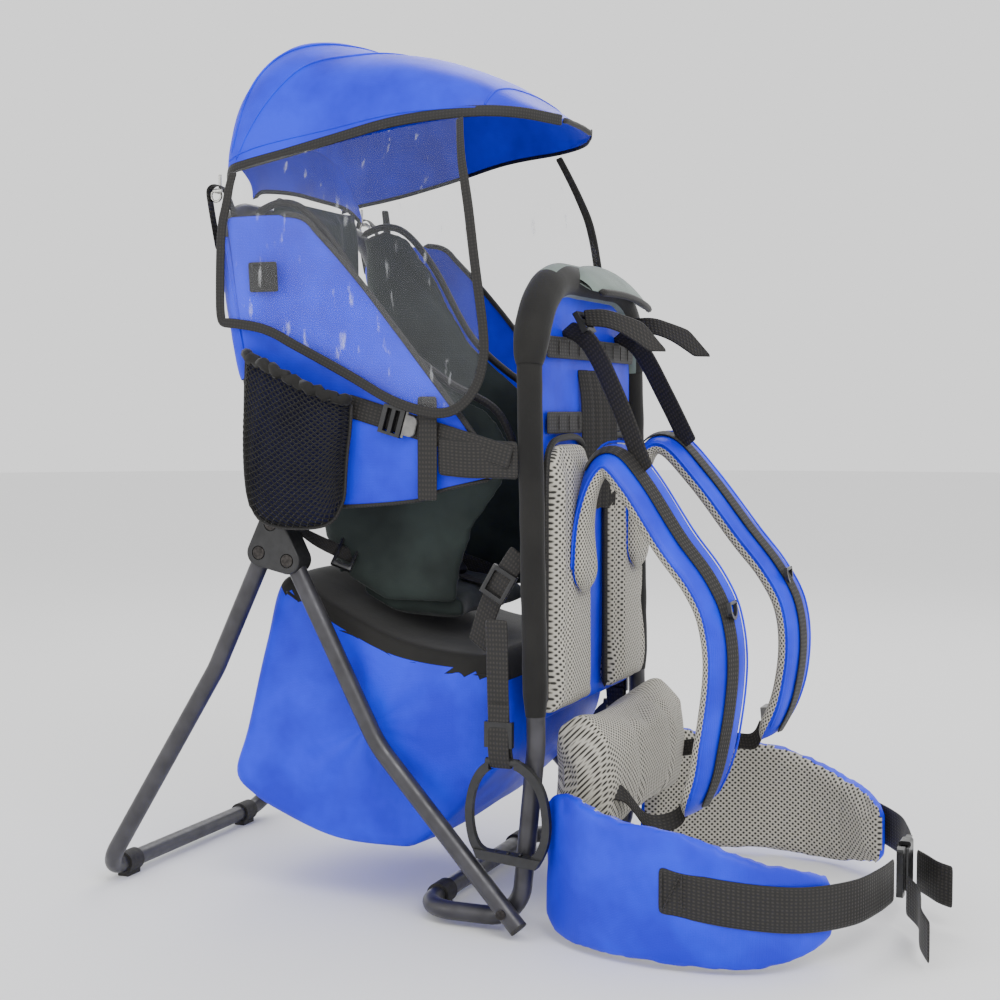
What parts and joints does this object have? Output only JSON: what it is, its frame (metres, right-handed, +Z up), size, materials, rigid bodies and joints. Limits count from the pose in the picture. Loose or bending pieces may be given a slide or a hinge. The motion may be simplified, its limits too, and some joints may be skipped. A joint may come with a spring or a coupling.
{
  "type": "child carrier backpack",
  "caption": "Framed child-carrier backpack with fold-out stand, padded seat, sun canopy with clear side curtains, storage bag, hip belt, shoulder straps and foot stirrups.",
  "frame": {"origin": "centre of the bounding box's footprint, on the ground plane", "axes": "+Z up, -Y towards the wearer, +Y the child's side, +X the wearer's left"},
  "size_m": [0.49, 0.9522, 0.984],
  "materials": {
    "tube": "satin charcoal powder coat",
    "bracket": "textured moulding",
    "steel": "blackened steel",
    "wire": "bright plated wire",
    "rubber": "moulded rubber",
    "blue_cloth": "coated woven polyester",
    "black_cloth": "woven binding and lining",
    "mesh_cloth": "spacer mesh",
    "fleece": "brushed cloth",
    "lining": "padded lining",
    "webbing": "woven webbing",
    "acetal": "moulded acetal",
    "grey_plastic": "moulded grey plastic",
    "clear_vinyl": "clear soft vinyl film"
  },
  "bodies": {
    "frame": {"back_frame": "tube", "back_pads": "mesh_cloth", "back_panel": "blue_cloth", "bag_lid": "black_cloth", "bracket_bolts": "steel", "child_straps": "lining", "drool_pad": "fleece", "foot_rivets": "steel", "frame_sleeve": "black_cloth", "harness_buckle": "acetal", "hinge_bracket_left": "bracket", "hinge_bracket_right": "bracket", "hip_buckle_socket": "acetal", "hip_webbing_left": "webbing", "hip_webbing_right": "webbing", "hip_webbing_tails": "webbing", "hip_wing_left": "blue_cloth", "hip_wing_right": "blue_cloth", "hoop_sleeves": "blue_cloth", "load_lifter_buckles": "acetal", "load_lifter_webs": "webbing", "loop_feet": "rubber", "lumbar_pad": "mesh_cloth", "mesh_pocket_left": "black_cloth", "mesh_pocket_right": "black_cloth", "rise_straps": "webbing", "seat_back_pad": "lining", "seat_cushion": "lining", "seat_hoop": "tube", "seat_liner_left": "lining", "seat_liner_right": "lining", "seat_side_left": "blue_cloth", "seat_side_right": "blue_cloth", "shoulder_strap_left": "blue_cloth", "shoulder_strap_right": "blue_cloth", "side_buckle_left": "acetal", "side_buckle_right": "acetal", "side_straps": "webbing", "side_tube_left": "tube", "side_tube_right": "tube", "stirrup_sliders": "acetal", "stirrup_straps": "webbing", "storage_bag": "blue_cloth", "tube_plugs": "rubber"},
    "kickstand": {"kickstand": "tube", "stand_feet": "rubber"},
    "canopy": {"canopy_top": "blue_cloth", "canopy_window_left": "clear_vinyl", "canopy_window_right": "clear_vinyl", "canopy_hooks": "wire"},
    "stirrup_left": {"stirrup_left": "acetal"},
    "stirrup_right": {"stirrup_right": "acetal"},
    "button": {"buckle_button": "acetal"},
    "belt_tongue": {"hip_buckle_tongue": "acetal"},
    "zip_slider": {"zip_slider": "acetal"},
    "lever_left": {"side_lever_left": "grey_plastic"},
    "lever_right": {"side_lever_right": "grey_plastic"},
    "ring_left": {"strap_ring_left": "acetal"},
    "ring_right": {"strap_ring_right": "acetal"}
  },
  "joints": [
    {"name": "kickstand_fold", "type": "hinge", "parent": "frame", "child": "kickstand", "pos_m": [0, 0.248, 0.395], "axis": [1, 0, 0], "range_deg": [-48, 0]},
    {"name": "canopy_tilt", "type": "hinge", "parent": "frame", "child": "canopy", "pos_m": [0, 0.306, 0.792], "axis": [-1, 0, 0], "range_deg": [0, 45]},
    {"name": "harness_button_press", "type": "slide", "parent": "frame", "child": "button", "axis": [0.2507, 0.6204, -0.7431], "range_m": [0, 0.002], "stiffness_N_per_m": 400},
    {"name": "belt_buckle_release", "type": "slide", "parent": "frame", "child": "belt_tongue", "axis": [-1, 0, 0], "range_m": [0, 0.022]},
    {"name": "bag_zip_run", "type": "slide", "parent": "frame", "child": "zip_slider", "axis": [1, 0, 0], "range_m": [0, 0.224]},
    {"name": "stirrup_swing_left", "type": "hinge", "parent": "frame", "child": "stirrup_left", "pos_m": [0.1962, -0.046, 0.185], "axis": [0, -1, 0], "range_deg": [0, 70]},
    {"name": "cam_lever_lift_left", "type": "hinge", "parent": "frame", "child": "lever_left", "pos_m": [0.1992, 0.07039, 0.53581], "axis": [0, -0.2756, 0.9613], "range_deg": [0, 55]},
    {"name": "strap_ring_swing_left", "type": "hinge", "parent": "frame", "child": "ring_left", "pos_m": [0.096, -0.27478, 0.37002], "axis": [-1, 0, 0], "range_deg": [0, 70]},
    {"name": "stirrup_swing_right", "type": "hinge", "parent": "frame", "child": "stirrup_right", "pos_m": [-0.1962, -0.046, 0.185], "axis": [0, 1, 0], "range_deg": [0, 70]},
    {"name": "cam_lever_lift_right", "type": "hinge", "parent": "frame", "child": "lever_right", "pos_m": [-0.1992, 0.07039, 0.53581], "axis": [0, 0.2756, -0.9613], "range_deg": [0, 55]},
    {"name": "strap_ring_swing_right", "type": "hinge", "parent": "frame", "child": "ring_right", "pos_m": [-0.096, -0.25728, 0.35002], "axis": [-1, 0, 0], "range_deg": [0, 70]}
  ]
}
